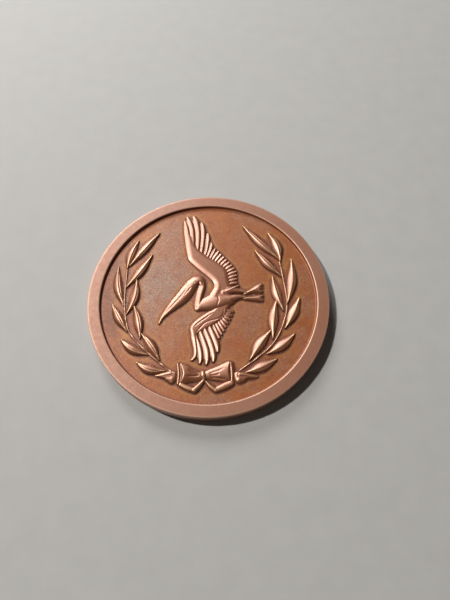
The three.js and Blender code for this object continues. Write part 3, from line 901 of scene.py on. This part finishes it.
UPPER_FOOT = [(10.2, 0.6), (10.9, 1.5), (12.3, 2.3), (14, 3.5), (15.5, 4.1), (16.2, 3.7), (16, 2.5),
              (16.1, 1.2), (15.2, 0.7), (13, 0.9), (11.4, 0.6)]
LOWER_FOOT = [(9.6, -0.5), (11, -0.1), (13, 0.1), (15.2, 0.4), (16.1, 0.1), (15.9, -0.8), (16, -1.7),
              (15.1, -2), (12.8, -1.6), (10.6, -1.2)]
UPPER_TOES = [[(14.9, 2.9), (15.8, 3.1), (16.9, 3.2)], [(14.9, 1.9), (15.8, 1.9), (16.9, 1.9)]]
LOWER_TOES = [[(14.9, -0.8), (15.8, -0.8), (16.9, -0.8)]]
FOOT_HEIGHT = 0.64
FOOT_SHOULDER = 1.2


def webbed_foot(x, y, outline, toes):
    """A paddle whose end is notched between the toes."""
    return grooved(x, y, panel(x, y, outline, FOOT_HEIGHT, FOOT_SHOULDER, power=1.8), toes, 0.24, 0.12)


def upper_foot(x, y):
    """The foot nearer to the upper wing."""
    return webbed_foot(x, y, UPPER_FOOT, UPPER_TOES)


def lower_foot(x, y):
    """The foot nearer to the lower wing."""
    return webbed_foot(x, y, LOWER_FOOT, LOWER_TOES)


# Straight cuts in the plane between the pelican's pieces: a point on each, and the direction across it.
WING_CUT = ((-0.5, 0.5), (-0.28, 0.96))  # from the body out to the upper wing
NECK_CUT = ((-2.05, -1.5), (-0.96, 0.28))  # from the body out to the neck
HEAD_CUT = ((-2.7, 4.2), (0, 1))  # from the neck up to the head
BILL_CUT = ((-2.7, 4.2), (-0.43, -0.9))  # from the head down to the bill
THROAT_CUT = ((-3.1, 2.95), (-0.95, 0.3))  # from the neck out to the bill
NAPE_CUT = ((-0.55, 4), (1, 0.1))  # from the head out to the wing


def back(cut):
    """The same cut, keeping the other side."""
    (px, py), (dx, dy) = cut
    return (px, py), (-dx, -dy)


relief_piece("pelican_lower_wing", lower_wing, (-6.6, -21.6), (8.4, -1.2), RELIEF)
relief_piece("pelican_upper_foot", upper_foot, (9.8, -0.4), (17, 5), RELIEF)
relief_piece("pelican_lower_foot", lower_foot, (9.2, -3), (17, 1.2), RELIEF)
relief_piece("pelican_body", torso, (-5, -5.4), (12.2, 4.4), RELIEF, [WING_CUT, NECK_CUT])
relief_piece("pelican_upper_wing", rear, (-8.6, -0.6), (10, 29.8), RELIEF, [back(WING_CUT)])
relief_piece("pelican_neck", torso, (-5, -5.2), (0.4, 5), RELIEF, [back(NECK_CUT), HEAD_CUT, THROAT_CUT])
relief_piece("pelican_head", torso, (-8, 3), (0.4, 8.2), RELIEF, [back(HEAD_CUT), BILL_CUT, NAPE_CUT])
relief_piece("pelican_bill", torso, (-16, -9), (-2, 7.4), RELIEF, [back(BILL_CUT), back(THROAT_CUT)])


# ---- Disc ---------------------------------------------------------------------------------------

DISC_STEPS = 440  # points round the disc
FIELD_STEP = 0.25  # between two rings of points on the field
EDGE_RADIUS = 0.22
BEVEL_WIDTH = 0.25  # of the slope between rim and field
FIELD_SLOT, RIM_SLOT = 0, 1
RIM_MARGIN = 0.12  # the rim's finish reaches this far inwards, down the slope

# width of the red patina along the rim and of the painted shade of the rim on its left
FOOT_SHADE_WIDTH = 1.3  # of the dark red line on the field along the rim
HALO_REACH = 0.8  # how far the ochre round a raised form spreads
HALO_GAIN = 1.5
# painted shadow: the dark beside a raised form is moved to its lower right, where its shadow falls
SHADOW_SHIFT = 0.2  # creases are darkest to the lower right of a raised form
# place and size of the painted sheen on the field
SHEEN_PLACE, SHEEN_SIZE = (-13, 5), (10, 17)
REVERSE_CLOUD = 0.3  # the reverse is evenly this much clouded
# painted shade on the field by the left rim
SHADE_START, SHADE_FADE, SHADE_HALF_HEIGHT = 25, 4, 18  # it grows from this radius over this width
# the rubbed edges are also painted pale as highlights
BRIGHT_INNER_EDGE, BRIGHT_OUTER_EDGE = 0.13, 0.3  # widths of the rim's rubbed edges


def arc(centre, radius, start, end, steps=4):
    """Points on an arc in the radius-height plane, angles in degrees."""
    made = []
    for angle in np.radians(np.linspace(start, end, steps + 1)):
        made.append((centre[0] + radius * math.cos(angle), centre[1] + radius * math.sin(angle)))
    return made


def disc_profile():
    """Radius and height from the middle of the reverse, round the edge, to the middle of the obverse."""
    foot = FIELD_RADIUS - BEVEL_WIDTH
    inner = np.arange(FIELD_STEP, foot, FIELD_STEP)
    rows = [(r, REVERSE_RECESS) for r in inner[::2]]
    rows += [(foot, REVERSE_RECESS), (FIELD_RADIUS - 0.05, 0.05), (FIELD_RADIUS + 0.05, 0)]
    rows += [(r, 0) for r in np.linspace(FIELD_RADIUS + 0.5, OUTER_RADIUS - 0.7, 4)]
    rows += arc((OUTER_RADIUS - EDGE_RADIUS, EDGE_RADIUS), EDGE_RADIUS, -90, 0)
    rows += [(OUTER_RADIUS, h) for h in np.linspace(0.6, THICKNESS - 0.6, 6)]
    rows += arc((OUTER_RADIUS - EDGE_RADIUS, THICKNESS - EDGE_RADIUS), EDGE_RADIUS, 0, 90)
    rows += [(r, THICKNESS) for r in np.linspace(OUTER_RADIUS - 0.7, FIELD_RADIUS + 0.5, 8)]
    # The rounded inner edge of the rim, then the soft foot of the slope.
    rows += [(FIELD_RADIUS + 0.24, THICKNESS), (FIELD_RADIUS + 0.17, THICKNESS - 0.01),
             (FIELD_RADIUS + 0.02, THICKNESS - 0.08), (FIELD_RADIUS - 0.05, THICKNESS - 0.2)]
    rows += [(foot + 0.05, FIELD_Z + 0.12), (foot, FIELD_Z + 0.04), (foot - 0.08, FIELD_Z)]
    rows += [(r, FIELD_Z) for r in inner[inner < foot - 0.2][::-1]]
    return np.array(rows)


def read_map(values, x, y):
    """Values of a map laid out like the relief map, at any points."""
    column = np.clip((x - MAP_SPAN[0]) / MAP_CELL, 0, len(MAP_SPAN) - 1.001)
    row = np.clip((y - MAP_SPAN[0]) / MAP_CELL, 0, len(MAP_SPAN) - 1.001)
    i, j = row.astype(int), column.astype(int)
    v, u = row - i, column - j
    return ((1 - v) * ((1 - u) * values[i, j] + u * values[i, j + 1])
            + v * ((1 - u) * values[i + 1, j] + u * values[i + 1, j + 1]))


def patina(points):
    """The disc's attributes, from 0 to 1. foot: the field along the rim, red patina grown on the left into a
    painted shade of the rim. A painted shade by the left rim. halo: the field round raised forms, widely.
    Close
    round raised forms: dark patina with a painted shadow shifted to their lower right. cloud: the grey-pink
    part
    of the field, a painted sheen. edge: the rim's rubbed edges, painted pale as highlights. The reverse keeps
    foot and edge, and its cloud is even."""
    x, y = points[:, 0], points[:, 1]
    radius = np.hypot(x, y)
    # red patina along the rim, weighted to the left as a painted shade of the rim
    foot = np.clip(1 - (FIELD_RADIUS - radius) / FOOT_SHADE_WIDTH, 0, 1) ** 1.3 * np.clip(0.6 - x / 40, 0.15, 1)
    # a painted shade on the field by the left rim, darkest near the rim and fading towards the top and bottom
    shade_band = np.clip((radius - SHADE_START) / SHADE_FADE, 0, 1) * np.clip(-x / 26, 0, 1)
    left_rim_shade = shade_band * np.exp(-(y / SHADE_HALF_HEIGHT) ** 2)
    halo = np.clip(HALO_GAIN * read_map(blurred(relief_map, HALO_REACH / MAP_CELL), x, y), 0, 1)
    # dark patina close round raised forms, shifted to their lower right as a painted shadow
    crease_and_shadow = read_map(blurred(relief_map, 1), x - SHADOW_SHIFT, y + SHADOW_SHIFT)
    # the grey-pink painted sheen on the obverse
    cloud = np.exp(-((x - SHEEN_PLACE[0]) / SHEEN_SIZE[0]) ** 2 - ((y - SHEEN_PLACE[1]) / SHEEN_SIZE[1]) ** 2)
    # the rim's rubbed edges, painted pale as highlights
    inner_edge = np.clip(1.3 - np.abs(radius - FIELD_RADIUS - 0.08) / BRIGHT_INNER_EDGE, 0, 1)
    edge = np.maximum(inner_edge, np.clip(1 - (OUTER_RADIUS - radius) / BRIGHT_OUTER_EDGE, 0, 1))
    edge = np.where(np.abs(points[:, 2] - THICKNESS / 2) > THICKNESS / 2 - 0.2, edge, 0)
    reverse = points[:, 2] < THICKNESS / 2
    made = {"foot": foot, "edge": edge, "cloud": np.where(reverse, REVERSE_CLOUD, cloud)}
    for name, values in (("halo", halo), ("crease_and_shadow", crease_and_shadow), ("left_rim_shade", left_rim_shade)):
        made[name] = np.where(reverse, 0, values)
    return made


def make_disc():
    """The disc, turned from its profile and closed by a point in the middle of each face."""
    profile = disc_profile()
    turn = np.linspace(0, 2 * math.pi, DISC_STEPS, endpoint=False)
    radius = profile[:, 0][:, None]
    rings = np.stack([radius * np.cos(turn), radius * np.sin(turn),
                      np.repeat(profile[:, 1][:, None], DISC_STEPS, 1)], 2).reshape(-1, 3)
    low_centre, high_centre = len(rings), len(rings) + 1
    points = np.vstack([rings, [0, 0, REVERSE_RECESS], [0, 0, FIELD_Z]])
    faces = []
    materials = []
    count = len(profile)
    for i in range(count - 1):
        on_rim = min(profile[i][0], profile[i + 1][0]) > FIELD_RADIUS - RIM_MARGIN
        for j in range(DISC_STEPS):
            k = (j + 1) % DISC_STEPS
            faces.append((i * DISC_STEPS + j, i * DISC_STEPS + k,
                          (i + 1) * DISC_STEPS + k, (i + 1) * DISC_STEPS + j))
            materials.append(RIM_SLOT if on_rim else FIELD_SLOT)
    for j in range(DISC_STEPS):
        k = (j + 1) % DISC_STEPS
        faces.append((k, j, low_centre))
        faces.append(((count - 1) * DISC_STEPS + j, (count - 1) * DISC_STEPS + k, high_centre))
        materials += [FIELD_SLOT, FIELD_SLOT]
    mesh = bpy.data.meshes.new("medal_disc_fine")
    mesh.from_pydata((points * MM).tolist(), [], faces)
    mesh.materials.append(FIELD)
    mesh.materials.append(RIM)
    mesh.polygons.foreach_set("material_index", materials)
    mesh.shade_smooth()
    for name, values in patina(points).items():
        add_attribute(mesh, name, values)
    add_piece(mesh, "medal_disc")


make_disc()


# ---- Floor and light ----------------------------------------------------------------------------

FLOOR_HALF = 1.5  # metres
FLOOR_DARK = (0.47, 0.47, 0.48)
FLOOR_LIGHT = (0.53, 0.53, 0.54)

# Name, azimuth and elevation in degrees, distance and size in metres, watts, colour, and whether the light
# is only seen in reflections.
LIGHTS = [
    ("key", 154, 54.5, 1.0, 0.06, 7.1, (1.0, 0.97, 0.89), False),
    ("sky", 110, 33, 0.7, 0.3, 2.5, (1.0, 0.99, 0.95), False),
    ("card", 122, 34, 0.7, 0.3, 1.8, (1.0, 0.97, 0.9), True),
]
SURROUNDINGS = (1.0, 0.88, 0.76, 1)
SURROUNDINGS_STRENGTH = 0.06


def make_floor():
    """A plain pale floor with a very faint speckle."""
    n = Nodes("pale_floor")
    speckle = n.noise(6, 3)
    colour = n.mix(speckle, FLOOR_DARK, FLOOR_LIGHT)
    n.finish(colour, n.remap(speckle, 0, 1, 0.7, 0.8), n.bump(speckle, 0.01), Specular_IOR_Level=0.2)
    mesh = bpy.data.meshes.new("floor")
    corners = [(x * FLOOR_HALF, y * FLOOR_HALF, 0) for x, y in ((-1, -1), (1, -1), (1, 1), (-1, 1))]
    mesh.from_pydata(corners, [], [(0, 1, 2, 3)])
    mesh.materials.append(n.material)
    floor = bpy.data.objects.new("floor", mesh)
    bpy.context.collection.objects.link(floor)
    floor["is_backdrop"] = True


def direction(azimuth, elevation):
    """Unit vector; azimuth in degrees from +X towards +Y."""
    a, e = math.radians(azimuth), math.radians(elevation)
    return Vector((math.cos(e) * math.cos(a), math.cos(e) * math.sin(a), math.sin(e)))


def area_light(name, azimuth, elevation, distance, size, watts, colour, only_reflected):
    """A round light that faces the origin."""
    data = bpy.data.lights.new(name, "AREA")
    data.shape = "DISK"
    data.size = size
    data.energy = watts
    data.color = colour
    light = bpy.data.objects.new(name, data)
    towards = direction(azimuth, elevation)
    light.location = towards * distance
    light.rotation_euler = towards.to_track_quat("Z", "Y").to_euler()
    light.visible_diffuse = not only_reflected
    bpy.context.collection.objects.link(light)


def make_light():
    """The lights, a dim warm glow from all round, and the plain view transform."""
    for settings in LIGHTS:
        area_light(*settings)
    world = bpy.data.worlds.new("studio")
    world.use_nodes = True
    background = world.node_tree.nodes["Background"]
    background.inputs["Color"].default_value = SURROUNDINGS
    background.inputs["Strength"].default_value = SURROUNDINGS_STRENGTH
    bpy.context.scene.world = world
    bpy.context.scene.view_settings.view_transform = "Standard"


make_floor()
make_light()

low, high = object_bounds()
